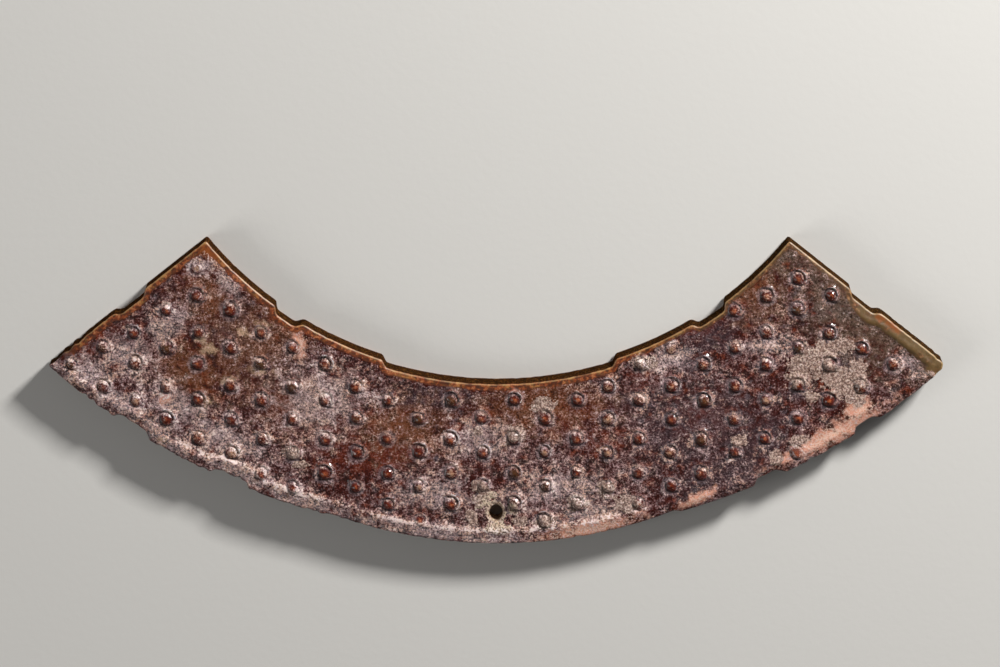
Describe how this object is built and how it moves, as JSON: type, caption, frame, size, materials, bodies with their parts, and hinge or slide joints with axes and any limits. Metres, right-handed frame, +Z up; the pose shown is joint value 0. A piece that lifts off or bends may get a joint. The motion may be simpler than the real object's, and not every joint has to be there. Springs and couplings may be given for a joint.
{
  "type": "jade huang",
  "caption": "Arc-shaped jade pendant plate with stepped edges, a bevelled rim, rows of comma-shaped grains and a small suspension hole.",
  "frame": {"origin": "middle of the plate's bounding box, on the surface that it lies on", "axes": "+X runs from end to end, +Y from the deepest point of the arc towards its open side, +Z up out of the carved front"},
  "size_m": [0.1346, 0.0466, 0.0052],
  "materials": {
    "jade": "old purple-brown nephrite with a waxy polish, pale earthy crust and amber translucent edges"
  },
  "bodies": {
    "root": {"jade_huang": "jade"}
  },
  "joints": []
}
